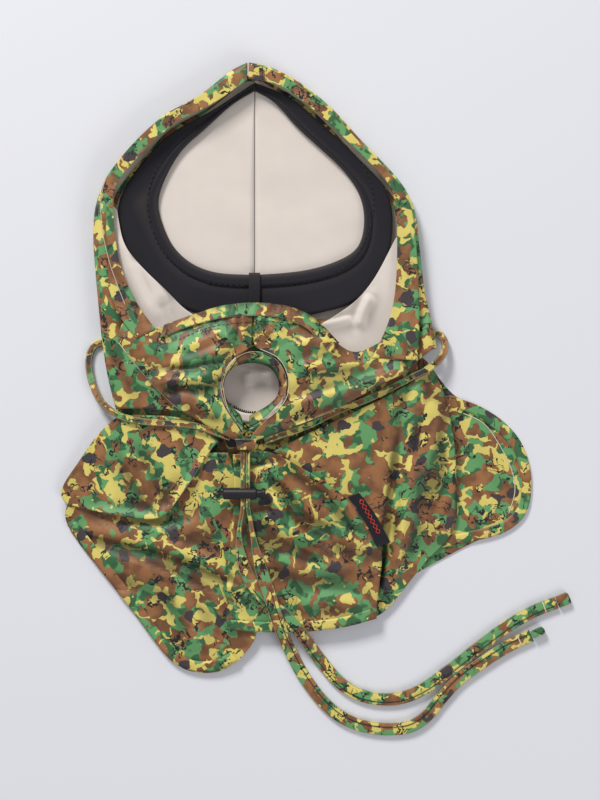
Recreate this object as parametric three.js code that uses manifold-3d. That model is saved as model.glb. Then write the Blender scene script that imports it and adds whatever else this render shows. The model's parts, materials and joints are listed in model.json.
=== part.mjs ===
// A hooded balaclava with a shoulder cape, laid on its back as it is put away.
// Millimetres. +Z is up, +Y runs towards the crown, and the cloth rests on Z = 0.
import * as THREE from "three";
import Module from "manifold-3d";
import { mergeVertices } from "three/addons/utils/BufferGeometryUtils.js";

const wasm = await Module();
wasm.setup();

// Driving dimensions
const CLOTH = 0.8; // doubled stretch cloth
const SEAM_X = -33; // the centre seam of hood, lining and headband
const SEAM_GAP = 0.5; // between the two halves of a seam
const BACK_Z = 0.4; // middle of the cloth that lies on the table
const LINING_Z = 1.9;
const CASING_Z = 3.5;
const NECK_LINING_Z = 4.7;
const HEADBAND_INNER_Z = 4.4;
const HEADBAND_OUTER_Z = 7.5;
const SIDE_LINING_Z = 10;
const HOOD_EDGE_Z = 12.9; // the hood's side where it comes back over itself
const FACING_Z = 14.8;
const LAYER = 1.2; // from the middle of one cloth to the middle of a hem sewn on it

// The cord and its lock
const CORD_X = -40; // middle of the two strands where they pass the lock
const STRAND_APART = 4.1;
const STRAND = { high: 3.6, wide: 3.6 };
const NECK_CORD = { high: 2.4, wide: 4.4 };
const LOCK = { y: -99, z: 17.8, left: -57.5, right: -31, radius: 4.7, bore: 3.5, wall: 3 };
const SLOT = { wide: 8.6, high: 4.6 };
const PLUNGER = { radius: 3.2, inner: -48.7, neckEnd: -27, end: -24, flange: 4.3, stroke: 3 };
const ROUND = 20; // faces round a turned piece

// Colours and finishes
const paint = (color, roughness, metalness = 0) =>
  new THREE.MeshStandardMaterial({ color, roughness, metalness });
const camouflage = paint(0x5f6b3c, 0.75);
const lightCloth = paint(0xd8cfc8, 0.8);
const blackCloth = paint(0x1b1a20, 0.7);
const blackPlastic = paint(0x141416, 0.4);
const labelWeave = paint(0x181517, 0.8);
const thread = paint(0xcfc8bd, 0.7);
const steel = paint(0xa8a8ac, 0.3, 0.9);

const object = new THREE.Group();

function add(name, geometry, material) {
  const mesh = new THREE.Mesh(geometry, material);
  mesh.name = name;
  object.add(mesh);
  return mesh;
}

// The height of each cape layer over the table. The bib is a plane that falls from the throat to its hem.
const BIB_SLOPE = 0.04; // the joint of the cord lock slides along it
const bibZ = (x, y) => 7.6 + BIB_SLOPE * (y + 209);
const leftZ = (x, y) => Math.max(1.9, bibZ(x, y) - 2.2 - 0.047 * Math.max(0, SEAM_X - x));
const shoulderZ = (x, y) => leftZ(x, y) + 2;
const sideZ = (x, y) => Math.max(2.9, bibZ(x, y) - 2.6 - 0.065 * Math.max(0, x - 40));
const flat = (z) => () => z;
const above = (height, by = LAYER) => (x, y) => height(x, y) + by;

// Rows of [x, y] become rows of points at the height that a function gives.
const lay = (rows, height) => rows.map((row) => row.map(([x, y]) => [x, y, height(x, y)]));

// A smooth curve through [x, y, z] points.
const smoothLine = (points) =>
  new THREE.CatmullRomCurve3(points.map((p) => new THREE.Vector3(...p)), false, "centripetal");

// A cloth of even thickness through rows of points, as a box whose grid is moved onto the surface.
// cells is how many steps it has along a row and how many across the rows.
function cloth(rows, cells, thickness = CLOTH) {
  const [along, across] = cells;
  const lines = rows.map((row) => smoothLine(row).getSpacedPoints(along));
  const grid = [];
  for (let i = 0; i <= along; i++) {
    const rib = new THREE.CatmullRomCurve3(lines.map((line) => line[i]), false, "centripetal");
    grid.push(rib.getPoints(across));
  }
  const normal = (i, j) => {
    const before = [grid[Math.max(i - 1, 0)][j], grid[i][Math.max(j - 1, 0)]];
    const after = [grid[Math.min(i + 1, along)][j], grid[i][Math.min(j + 1, across)]];
    const du = after[0].clone().sub(before[0]);
    return du.cross(after[1].clone().sub(before[1])).normalize();
  };
  const box = new THREE.BoxGeometry(1, 1, 1, along, across, 1);
  const position = box.attributes.position;
  for (let k = 0; k < position.count; k++) {
    const i = Math.round((position.getX(k) + 0.5) * along);
    const j = Math.round((position.getY(k) + 0.5) * across);
    const p = grid[i][j].clone().addScaledVector(normal(i, j), position.getZ(k) * thickness);
    position.setXYZ(k, p.x, p.y, p.z);
  }
  box.computeVertexNormals();
  return box;
}

// ---------------------------------------------------------------- hood, lying on its back
const crownLeft = [
  [[-48, 233], [-41, 234.5]],
  [[-72, 213], [-52, 214]],
  [[-118, 178], [-75, 178]],
  [[-146, 143], [-90, 143]],
  [[-154, 103], [-94, 103]],
  [[-151, 63], [-92, 63]],
  [[-147, 31], [-90, 31]],
];
const crownRight = [
  [[-27, 235.5], [-21, 233.5]],
  [[-12, 216], [9, 214]],
  [[10, 181], [48, 179]],
  [[22, 145], [80, 141]],
  [[28, 103], [90, 103]],
  [[31, 63], [94, 63]],
  [[33, 31], [99, 31]],
];
const toSeam = (rows, x, first) =>
  rows.map((row) => (first ? [[x, row[0][1]], ...row] : [...row, [x, row[0][1]]]));
const seamLeft = SEAM_X - SEAM_GAP / 2;
const seamRight = SEAM_X + SEAM_GAP / 2;
const shift = (rows, dx, dy) => rows.map((row) => row.map(([x, y]) => [x + dx, y + dy]));
const LINING_INSET = 5;

add("hood_back_left", cloth(lay(toSeam(crownLeft, seamLeft, false), flat(BACK_Z)), [3, 14]), camouflage);
add("hood_back_right", cloth(lay(toSeam(crownRight, seamRight, true), flat(BACK_Z)), [3, 14]), camouflage);
const liningLeft = toSeam(shift(crownLeft, LINING_INSET, -LINING_INSET), seamLeft, false);
const liningRight = toSeam(shift(crownRight, -LINING_INSET, -LINING_INSET), seamRight, true);
add("crown_lining_left", cloth(lay(liningLeft, flat(LINING_Z)), [3, 14]), lightCloth);
add("crown_lining_right", cloth(lay(liningRight, flat(LINING_Z)), [3, 14]), lightCloth);

// The hood's side: from under the edge of the back, round the outer fold, and back in to the face opening.
const outerLeft = [
  [-38.6, 243], [-46, 241.3], [-54, 235], [-77, 216.5], [-109, 199], [-123, 183], [-137, 167],
  [-152, 148], [-159, 131], [-161, 103], [-158, 63], [-154, 23], [-149, -9], [-143, -33],
];
const outerRight = [
  [-37.4, 243], [-21, 240.3], [-11, 235.4], [8, 224], [32, 203.5], [51, 182], [76, 156.7],
  [87, 143], [92.6, 133], [95.5, 121.6], [98, 100], [102, 63], [107, 39], [112, 16],
];
const innerLeft = [
  [-38.6, 229.5], [-65, 211], [-94, 197], [-111, 184], [-136, 158], [-146, 143], [-146.5, 130],
  [-145, 111], [-141, 85], [-134, 60], [-122, 34], [-108, 8], [-95, -13], [-82, -34],
];
const innerRight = [
  [-37.4, 230.5], [-22, 228.5], [-2, 219], [15, 205], [40, 182.5], [61.5, 162], [77, 143],
  [81, 127], [82, 106], [80.5, 66], [77, 45], [73, 24], [74, 4], [80, -9],
];
// How far in from the outer fold, and how high, each row of the side lies.
const sideProfile = [[11, 3.5], [4.5, 3.6], [1.2, 5.4], [0, 8.2], [1.2, 11], [5, 12.6]];

function foldedSide(outer, inner, inwards) {
  const beyond = (x) => (inwards > 0 ? Math.min(x, outer[0][0]) : Math.max(x, outer[0][0]));
  const edge = smoothLine(outer.map(([x, y]) => [x, y, 0]));
  const steps = 28;
  const rows = sideProfile.map(([inset, z]) => {
    const row = [];
    for (let i = 0; i <= steps; i++) {
      const p = edge.getPointAt(i / steps);
      const t = edge.getTangentAt(i / steps);
      row.push([beyond(p.x - inwards * t.y * inset), p.y + inwards * t.x * inset, z]);
    }
    return row;
  });
  rows.push(inner.map(([x, y]) => [x, y, HOOD_EDGE_Z]));
  return rows;
}
add("hood_side_left", cloth(foldedSide(outerLeft, innerLeft, 1), [24, 7]), camouflage);
add("hood_side_right", cloth(foldedSide(outerRight, innerRight, -1), [22, 7]), camouflage);

// The facing that hems the face opening. It rises where it crosses the ends of the mask.
const rise = (x, y) => FACING_Z + 3.6 * THREE.MathUtils.smoothstep(60 - y, 0, 36);
const facingLeft = [
  [
    [-38.6, 240], [-60, 226], [-84, 211], [-113, 193], [-143, 161], [-154, 143], [-154.5, 128],
    [-153.6, 100], [-150, 70], [-138, 38], [-126, 24],
  ],
  [
    [-38.6, 228], [-65, 209.5], [-93, 195.5], [-109, 182.5], [-134, 157], [-143.5, 142], [-144.5, 129],
    [-143.5, 111], [-139, 82], [-125, 50], [-111, 31],
  ],
];
const facingRight = [
  [
    [-37.4, 240], [-21, 237.3], [-12, 232.6], [6, 221.6], [30, 201], [48.8, 180], [73.8, 155],
    [84.6, 141.6], [90, 132], [92.6, 121], [95, 100], [97, 66], [97.5, 35], [96, 6],
  ],
  [
    [-37.4, 229], [-22, 227], [-2.5, 218], [14, 204], [38.8, 181.5], [60, 161], [75.5, 142.5],
    [79.2, 127], [80, 106], [79, 66], [75, 42], [68, 24], [60, 8],
  ],
];
add("face_facing_left", cloth(lay(facingLeft, rise), [26, 2]), camouflage);
add("face_facing_right", cloth(lay(facingRight, rise), [26, 2]), camouflage);

// ---------------------------------------------------------------- inside the hood
const bandOuterLeft = [
  [seamLeft, 227], [-65, 206], [-93, 191], [-109, 179], [-135, 146], [-142, 128], [-134, 92],
  [-110, 60], [-85, 46], [-60, 40.5], [seamLeft, 39],
];
const bandInnerLeft = [
  [seamLeft, 221], [-50, 211], [-72, 191], [-90, 175], [-102, 156], [-110, 133], [-106, 114],
  [-97, 96], [-84, 84], [-65, 76.5], [seamLeft, 74.5],
];
const bandOuterRight = [
  [seamRight, 227], [-5, 216], [12, 202], [37, 179], [58, 158.5], [73, 141], [76.5, 104],
  [66, 72], [50, 54], [27, 46], [0, 40.5], [seamRight, 39],
];
const bandInnerRight = [
  [seamRight, 221], [-18, 213], [1, 192], [23, 172], [39.5, 156], [50.6, 138.7], [54.6, 119],
  [49.5, 96], [35, 86.5], [12, 79], [-10, 76], [seamRight, 74.5],
];
const atHeight = (row, z) => row.map(([x, y]) => [x, y, z]);
// A row part of the way from one row to another that has as many points.
const between = (a, b, share) => a.map((p, i) => p.map((c, k) => THREE.MathUtils.lerp(c, b[i][k], share)));

function headband(outer, inner) {
  const top = atHeight(outer, HEADBAND_OUTER_Z);
  const low = atHeight(inner, HEADBAND_INNER_Z);
  return { band: [top, between(top, low, 0.5), low], hem: [between(low, top, 0.27), between(low, top, 0.02)] };
}
for (const [side, outer, inner] of [
  ["left", bandOuterLeft, bandInnerLeft],
  ["right", bandOuterRight, bandInnerRight],
]) {
  const { band, hem } = headband(outer, inner);
  add(`headband_${side}`, cloth(band, [26, 3]), blackCloth);
  const raised = hem.map((row) => row.map(([x, y, z]) => [x, y, z + LAYER + 0.3]));
  add(`headband_hem_${side}`, cloth(raised, [26, 1]), blackCloth);
}
const SEAM_TAPE = 9; // width of the tape over the headband's joint
const tapeRow = (x) => [
  [x, 40, HEADBAND_OUTER_Z + 2 * LAYER + 0.2],
  [x, 58, HEADBAND_OUTER_Z + LAYER],
  [x, 76, HEADBAND_INNER_Z + 2 * LAYER + 0.6],
];
add(
  "headband_seam_tape",
  cloth([tapeRow(SEAM_X - SEAM_TAPE / 2), tapeRow(SEAM_X + SEAM_TAPE / 2)], [5, 2]),
  blackCloth,
);

const sideLiningLeft = [
  [[-147, 130], [-147.5, 100], [-144, 70], [-137, 42], [-124, 18], [-104, 6]],
  [[-144, 128], [-141, 102], [-133, 76], [-121, 52], [-105, 32], [-86, 18]],
  [[-142, 125], [-136, 98], [-120, 78], [-103, 62], [-86, 45], [-66, 36]],
];
const sideLiningRight = [
  [[84, 105], [83, 75], [80, 50], [76, 25], [68, 2]],
  [[80, 104], [73, 75], [62, 48], [50, 24], [37, 6]],
  [[78, 101], [62, 71], [48, 54], [28, 40], [8, 28]],
];
add("side_lining_left", cloth(lay(sideLiningLeft, flat(SIDE_LINING_Z)), [12, 4]), lightCloth);
add("side_lining_right", cloth(lay(sideLiningRight, flat(SIDE_LINING_Z)), [12, 4]), lightCloth);

const neckLining = [
  [[-126, 36], [-80, 37], [0, 37], [88, 36]],
  [[-128, 10], [-80, 10], [0, 10], [96, 10]],
  [[-125, -20], [-80, -20], [0, -20], [98, -20]],
  [[-108, -52], [-70, -54], [0, -54], [88, -50]],
];
add("neck_lining", cloth(lay(neckLining, flat(NECK_LINING_Z)), [5, 5]), lightCloth);

// The tunnel at the nape that the cord runs in, between the hood's back and the cape's.
const casing = [
  [[-138, 39], [92, 39]],
  [[-138, 3], [92, 3]],
];
add("cord_casing", cloth(lay(casing, flat(CASING_Z)), [4, 1]), camouflage);

// ---------------------------------------------------------------- mask over nose and mouth
const maskLeft = [
  [
    [seamLeft - 1, 50, 19], [seamLeft - 1, 30, 23], [-34.5, 15, 25], [-50, 9, 25.5], [-60, -8, 25],
    [-59, -25, 24], [-49, -42, 22], [-40.5, -54, 19.5], [-39.5, -60, 17.6],
  ],
  [
    [-55, 48.5, 19.5], [-60, 26, 23.5], [-70, 10, 25], [-75, -10, 24.5], [-70, -31, 22.5],
    [-58, -49, 19.5], [-48, -57, 17.4],
  ],
  [[-77, 42, 19], [-84, 20, 22], [-91, -2, 22.5], [-88, -24, 21], [-76, -42, 17.8]],
  [[-103, 32, 17.5], [-110, 13, 19], [-113, -4, 19], [-106, -18, 18], [-92, -32, 16.6]],
  [[-122, 33, 16.2], [-127, 22, 16.8], [-127, 10, 16.8], [-121, -3, 16.2]],
  [[-137, 36, 15.4], [-140, 28, 15.4], [-140, 19, 15.4]],
];
const maskRight = [
  [
    [seamRight - 0.4, 50, 19], [seamRight - 0.4, 30, 23], [-33, 15, 25], [-17, 11, 25.5], [-6, -5, 25],
    [-6.5, -21, 24], [-19, -37, 22], [-35.9, -53, 19.5], [-37.4, -60, 17.6],
  ],
  [
    [-9, 48, 19.5], [-4, 26, 23.5], [7, 8, 25], [8, -13, 24.5], [0, -32, 22.2], [-19, -52, 18.4],
  ],
  [[13, 39, 18.8], [21, 19, 21.5], [27, 0, 22.5], [27, -17, 21], [18, -32, 18.8], [6, -43, 17.2]],
  [[34, 18, 17.6], [39, 5, 19], [44, -8, 19], [43, -21, 18], [38, -29, 17.2]],
  [[48, 12, 16.6], [56, 3, 17.4], [61, -6, 17.2], [65, -14, 16.6]],
  [[72, 24, 15.9], [80, 11, 16], [90, -2, 15.9]],
];
add("mask_left", cloth(maskLeft, [12, 11]), camouflage);
add("mask_right", cloth(maskRight, [12, 11]), camouflage);

const noseChannel = [
  [
    [-104, 34, 19.2], [-77, 43.5, 20.6], [-55, 49.8, 21], [-34, 51.5, 20.6], [-9, 49.5, 21],
    [13, 40.5, 21.2], [34, 20, 20.2],
  ],
  [
    [-107, 24, 20.4], [-81, 33.5, 22.2], [-57, 39.5, 23.1], [-34, 41, 23], [-8, 39, 23.4],
    [9, 31, 23.8], [27, 11.5, 23.2],
  ],
];
add("nose_channel", cloth(noseChannel, [20, 1]), camouflage);

// The hem of the mouth opening turns down into it, and its ends meet in a point at the throat.
const mouthHem = [
  [
    [-41.5, -50.5, 19.6], [-49.8, -39, 21.6], [-57.6, -24, 23.6], [-58.4, -8, 24.6], [-49.2, 7, 25.1],
    [-34, 13, 24.6], [-18, 9, 25.1], [-8, -5.5, 24.6], [-8.4, -20, 23.6], [-20, -34.6, 21.6],
    [-37, -50, 19.6],
  ],
  [
    [-42.3, -38, 17.2], [-50, -31, 19.4], [-56, -22, 21.4], [-56.2, -9, 22.2], [-50, 0, 21.4],
    [-35, 4, 20.8], [-20, 0, 21.4], [-13.6, -10, 22], [-14, -21, 21.2], [-21.5, -29, 19.6],
    [-36.6, -37.6, 17.2],
  ],
];
add("mouth_hem", cloth(mouthHem, [28, 1], 0.7), camouflage);

const overlock = [
  [[-57, -24, 12.4], [-49, -32, 12], [-40, -35.5, 12], [-28, -35.5, 12], [-14, -30, 12.4]],
  [[-61, -30, 12], [-52, -38.5, 11.6], [-41, -42.5, 11.6], [-27, -42.5, 11.6], [-11, -36, 12]],
];
add("overlock_seam", cloth(overlock, [14, 1]), thread);

const throatTab = [
  [[-48, -56, 20.4], [-39.5, -56, 21.4], [-31, -56, 20.4]],
  [[-47, -60, 19.6], [-39.5, -60, 20.4], [-32, -60, 19.6]],
  [[-46, -64.5, 19.4], [-39.5, -64.5, 20], [-33, -64.5, 19.4]],
];
add("throat_tab", cloth(throatTab, [6, 3]), camouflage);

// ---------------------------------------------------------------- cape
const capeBack = [
  [[-146, 12], [-80, 12], [0, 12], [102, 12]],
  [[-141, -25], [-60, -25], [40, -24], [126, -23]],
  [[-152, -65], [-60, -60], [60, -50], [140, -27.5], [164, -41]],
  [[-172, -97], [-60, -92], [60, -82], [150, -78], [186.4, -87]],
  [[-166, -129], [-60, -128], [60, -124], [140, -122], [185, -116]],
  [[-145, -161], [-60, -160], [40, -160], [100, -152], [139, -140]],
  [[-120, -190], [-60, -190], [0, -186], [50, -178], [92, -166]],
];
add("cape_back", cloth(lay(capeBack, flat(BACK_Z)), [12, 12]), camouflage);
const capeBackHem = [
  [
    [128, -23.5], [141, -27.5], [163, -40], [179, -57], [187, -79], [187.6, -101], [183, -118],
    [166, -131.5], [139, -138.5], [117, -143],
  ],
  [
    [130, -32], [138, -35], [157, -47], [172, -62], [179.6, -82], [180.2, -100], [176, -113.5],
    [162, -124], [137, -130.5], [116, -135],
  ],
];
add("cape_back_hem", cloth(lay(capeBackHem, flat(BACK_Z + LAYER)), [22, 1]), camouflage);

const frontLeft = [
  [[-157, -81], [-117, -72], [-77, -67], [-54, -67]],
  [[-180, -104], [-133, -101], [-80, -97], [-45, -97]],
  [[-185, -121], [-133, -129], [-80, -133], [-38, -137]],
  [[-161, -155], [-117, -163], [-69, -169], [-36, -177]],
  [[-133, -190], [-93, -195], [-57, -200], [-31, -203]],
  [[-113, -218], [-85, -225], [-57, -225], [-33, -217]],
  [[-91, -240], [-76, -243.2], [-60, -241.5], [-46, -233]],
];
add("cape_front_left", cloth(lay(frontLeft, leftZ), [8, 12]), camouflage);
const frontLeftHem = [
  [
    [-182.5, -125], [-176, -133.5], [-157, -160], [-133, -189.5], [-113, -217.5], [-98, -235],
    [-83, -241.5], [-62, -241], [-46, -232.5],
  ],
  [
    [-175, -122], [-169, -129.5], [-150, -155.5], [-126.5, -185], [-106.5, -212.5], [-92.5, -228],
    [-81, -233.5], [-65, -233], [-52, -226],
  ],
];
add("cape_front_left_hem", cloth(lay(frontLeftHem, above(leftZ, 1.5)), [18, 1]), camouflage);

const bib = [
  [[-50, -68.5], [-36, -66.5], [-20, -66]],
  [[-49, -89], [-25, -88], [2, -82], [19, -87]],
  [[-50, -117], [-13, -115], [23, -109], [49, -111]],
  [[-53, -145], [-13, -145], [31, -141], [68, -141]],
  [[-55, -177], [-13, -179], [27, -176], [66, -173]],
  [[-56, -208], [-27, -210], [27, -208], [64, -199]],
];
add("cape_bib", cloth(lay(bib, bibZ), [6, 12]), camouflage);
const bibHem = [
  [[-55, -207.5], [-27, -209.5], [3, -209], [27, -207.5], [48, -203.6], [63, -198.5]],
  [[-55, -199.5], [-27, -201.5], [3, -201], [26, -199.5], [46, -195.6], [60.5, -190.5]],
];
add("cape_bib_hem", cloth(lay(bibHem, above(bibZ)), [14, 1]), camouflage);

const shoulder = [
  [[-141, -37.5], [-117, -37.5], [-93, -39], [-75, -47.5], [-62, -58]],
  [[-158, -53], [-133, -57], [-101, -59], [-67, -64]],
  [[-174, -76], [-141, -81], [-109, -83], [-78, -81]],
  [[-188, -98], [-149, -102], [-117, -105], [-91, -100]],
  [[-184, -108], [-147, -116], [-115, -120], [-103, -117]],
];
add("cape_shoulder_left", cloth(lay(shoulder, shoulderZ), [9, 8]), camouflage);

const side = [
  [[-18, -66], [11, -51], [43, -36], [80, -18], [108, 1]],
  [[-6, -74], [27, -64], [67, -45], [99, -29], [119, -22]],
  [[18, -93], [43, -85], [75, -73], [107, -65], [126, -61]],
  [[39, -121], [63, -113], [91, -105], [115, -101], [128, -97]],
  [[51, -153], [71, -149], [91, -144], [111, -137], [127, -129]],
  [[56, -183], [71, -177], [83, -169], [95, -161], [107, -150]],
  [[62, -198], [66, -197], [70, -194], [75, -189], [82, -181]],
];
add("cape_side_right", cloth(lay(side, sideZ), [8, 12]), camouflage);

const label = [
  [[41, -102], [54, -120], [64, -142]],
  [[50, -98.5], [63, -116], [75, -138]],
];
add("woven_label", cloth(lay(label, above(bibZ, 1.4)), [8, 2], 0.6), labelWeave);

// ---------------------------------------------------------------- cord
// A flat cord along a route: the section's x lies upright and its y across the route.
function cordAlong(points, { high, wide }, steps) {
  const section = new THREE.Shape();
  const sides = 8;
  for (let i = 0; i < sides; i++) {
    const a = ((i + 0.5) / sides) * 2 * Math.PI;
    const x = (high / 2) * Math.cos(a) / Math.cos(Math.PI / sides);
    const y = (wide / 2) * Math.sin(a) / Math.cos(Math.PI / sides);
    if (i === 0) section.moveTo(x, y);
    else section.lineTo(x, y);
  }
  section.closePath();
  return new THREE.ExtrudeGeometry(section, { steps, extrudePath: smoothLine(points), bevelEnabled: false });
}

const neckRoute = [
  [-52, -55, 15.5], [-64, -50.5, 15.5], [-77, -46, 15.2], [-92, -44, 14.4], [-106, -43.4, 13.1],
  [-120, -42.4, 12.4], [-134, -39.8, 11.8], [-146, -34.4, 10.6], [-156, -25, 8],
  [-162.4, -12, 5], [-165.2, 0, 3],
  [-165, 10, 2], [-161, 18, 1.6], [-152, 21.2, 1.5], [-136, 21.5, 1.5], [-90, 21.5, 1.5], [-33, 21.5, 1.5],
  [30, 21.5, 1.5], [80, 21.5, 1.5], [98, 22.5, 1.5], [108, 26.5, 1.6], [114, 27.5, 2.4],
  [118.4, 22, 4.4], [118, 13.4, 7.6], [113, 6, 10.8], [104, -1, 13], [92, -7, 13.3],
  [79, -13.6, 13.5], [60, -23, 14],
  [35, -33, 14.1], [10, -45, 14.4], [-12, -53, 15], [-25, -57.5, 15.2],
];
add("neck_cord", cordAlong(neckRoute, NECK_CORD, 60), camouflage);

// From the throat the two ends run side by side down through the lock, and then lie loose.
const strand = (x) => [
  [x, -65.6, 16.7], [x, -69, 17.3], [x, -74, 17.9], [x, -79, 18.6], [x, -86, 18.3], [x, -93, 18],
  [x, -99.2, 17.8], [x, -104, 17.6], [x, -110, 17.2],
];
const tailLeftRoute = [
  ...strand(CORD_X - STRAND_APART / 2),
  [-43, -117, 16.4], [-44.6, -125, 15], [-45, -134, 13.9], [-44, -145, 13.3], [-40.6, -158, 12.7],
  [-34.4, -171, 12.2], [-24, -183.6, 11.8], [-11.6, -193.8, 11.8], [-2, -203.4, 12.4], [4.6, -211, 11.6],
  [10.6, -219.6, 7], [16, -228, 3.4], [22.6, -236.6, 2.1], [32, -248, 2.1], [45, -258, 2.1],
  [62, -263.6, 2.1], [82, -263.6, 2.1], [101, -256.4, 2.1], [121, -242.4, 2.1], [144, -224.6, 2.1],
  [168, -206.6, 2.1], [190, -194, 2.1], [208, -187, 2.1],
];
const tailRightRoute = [
  ...strand(CORD_X + STRAND_APART / 2),
  [-36.6, -117, 16.4], [-34.8, -128, 15], [-32.4, -141, 14], [-28.8, -155, 13.7], [-24.8, -168, 14.4],
  [-20.6, -180, 15.6], [-17.6, -190, 16], [-14.6, -199, 15], [-11.8, -207, 12.6], [-8.8, -215, 9],
  [-5, -224, 4.8], [-1, -232.4, 2.5], [4.6, -243, 2.1], [12, -254, 2.1], [21.6, -266, 2.1],
  [34, -277, 2.1], [50, -284.6, 2.1], [70, -288, 2.1], [90, -286.4, 2.1], [104, -278, 2.1],
  [116, -263.6, 2.1], [130, -248.4, 2.1], [150, -234, 2.1], [170, -221.6, 2.1], [188, -213.2, 2.1],
];
add("cord_tail_left", cordAlong(tailLeftRoute, STRAND, 52), camouflage);
add("cord_tail_right", cordAlong(tailRightRoute, STRAND, 54), camouflage);

// The tape's sewn ends: one folded square, one rolled.
function rounded(length, width, height, corner) {
  const shape = new THREE.Shape();
  const [a, b] = [length / 2, width / 2];
  shape.moveTo(-a, -b);
  shape.lineTo(a - corner, -b);
  shape.quadraticCurveTo(a, -b, a, -b + corner);
  shape.lineTo(a, b - corner);
  shape.quadraticCurveTo(a, b, a - corner, b);
  shape.lineTo(-a, b);
  shape.closePath();
  return new THREE.ExtrudeGeometry(shape, { depth: height, bevelEnabled: false, curveSegments: 3 });
}
function sewnEnd(name, place, size, turned) {
  const end = add(name, rounded(...size), camouflage);
  end.position.set(place[0], place[1], 0.2);
  end.rotation.z = THREE.MathUtils.degToRad(turned);
}
sewnEnd("cord_end_square", [213.6, -184.8], [10.4, 9.4, 3.6, 2], 21.5);
sewnEnd("cord_end_rolled", [193.4, -210.6], [10.6, 6, 4.8, 2.6], 25);

// ---------------------------------------------------------------- cord lock
// Turned pieces lie along X: a profile of [radius, x] is turned about Y and laid over.
function turned(profile) {
  const lathe = new THREE.LatheGeometry(profile.map(([r, x]) => new THREE.Vector2(r, x)), ROUND);
  lathe.rotateZ(-Math.PI / 2);
  return lathe.translate(0, LOCK.y, LOCK.z);
}
function solid(geometry) {
  const bare = geometry.clone();
  for (const name of ["normal", "uv"]) bare.deleteAttribute(name);
  const merged = mergeVertices(bare, 1e-4);
  return new wasm.Manifold(
    new wasm.Mesh({
      numProp: 3,
      vertProperties: merged.attributes.position.array,
      triVerts: new Uint32Array(merged.index.array),
    }),
  );
}
function geometryOf(made) {
  const { vertProperties, triVerts } = made.getMesh();
  const geometry = new THREE.BufferGeometry();
  geometry.setAttribute("position", new THREE.BufferAttribute(vertProperties, 3));
  geometry.setIndex(new THREE.BufferAttribute(triVerts, 1));
  geometry.computeVertexNormals();
  return geometry;
}
const boxFrom = (low, high) => {
  const size = high.map((c, k) => c - low[k]);
  return new THREE.BoxGeometry(...size).translate(...low.map((c, k) => c + size[k] / 2));
};
const slotLeft = CORD_X - SLOT.wide / 2;
const slotRight = CORD_X + SLOT.wide / 2;
const cutSlot = (geometry, left, right) =>
  geometryOf(
    solid(geometry).subtract(
      solid(boxFrom([left, LOCK.y - 8, LOCK.z - SLOT.high / 2], [right, LOCK.y + 8, LOCK.z + SLOT.high / 2])),
    ),
  );

const EDGE = 0.8; // rounding of the barrel's rims
const barrel = turned([
  [0, LOCK.left],
  [LOCK.radius - EDGE, LOCK.left],
  [LOCK.radius, LOCK.left + EDGE],
  [LOCK.radius, LOCK.right - EDGE],
  [LOCK.radius - EDGE, LOCK.right],
  [LOCK.bore, LOCK.right],
  [LOCK.bore, LOCK.left + LOCK.wall],
  [0, LOCK.left + LOCK.wall],
]);
add("cord_lock_barrel", cutSlot(barrel, slotLeft, slotRight), blackPlastic);

// The plunger's slot is longer than the barrel's by the stroke, so that it opens as it is pressed.
const plunger = turned([
  [0, PLUNGER.inner],
  [PLUNGER.radius, PLUNGER.inner],
  [PLUNGER.radius, PLUNGER.neckEnd],
  [PLUNGER.flange - 0.3, PLUNGER.neckEnd],
  [PLUNGER.flange, PLUNGER.neckEnd + 0.5],
  [PLUNGER.flange, PLUNGER.end - 0.7],
  [PLUNGER.flange - 0.8, PLUNGER.end],
  [0, PLUNGER.end],
]);
add("cord_lock_plunger", cutSlot(plunger, slotLeft, slotRight + PLUNGER.stroke), blackPlastic);

const SPRING_GAP = 0.6;
const SPRING = { radius: 2.2, wire: 0.5, turns: 3 };
SPRING.left = LOCK.left + LOCK.wall + SPRING_GAP;
SPRING.right = PLUNGER.inner - SPRING_GAP;
class Helix extends THREE.Curve {
  getPoint(t) {
    const a = t * SPRING.turns * 2 * Math.PI;
    return new THREE.Vector3(
      THREE.MathUtils.lerp(SPRING.left, SPRING.right, t),
      LOCK.y + SPRING.radius * Math.cos(a),
      LOCK.z + SPRING.radius * Math.sin(a),
    );
  }
}
const wire = new THREE.Shape().absarc(0, 0, SPRING.wire / 2, 0, 2 * Math.PI);
const coil = { steps: 30, curveSegments: 4, extrudePath: new Helix(), bevelEnabled: false };
add("cord_lock_spring", new THREE.ExtrudeGeometry(wire, coil), steel);

export default object;
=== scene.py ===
# %% [markdown]
# # A hooded balaclava, laid on its back
# The cut of the garment, its layers, the cord's route and the cord lock come from the frame.
# This script gives them their looks: stretch cloth with folds, a black knit headband, a flat cord
# with sewn ends, and the light of a small studio. Lengths are metres, and MM turns millimetres into them.

# %% The frame
import json
import math
import bmesh
import bpy
import numpy as np
from mathutils import Matrix, Vector, noise
from mathutils.bvhtree import BVHTree
from mathutils.kdtree import KDTree


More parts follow.
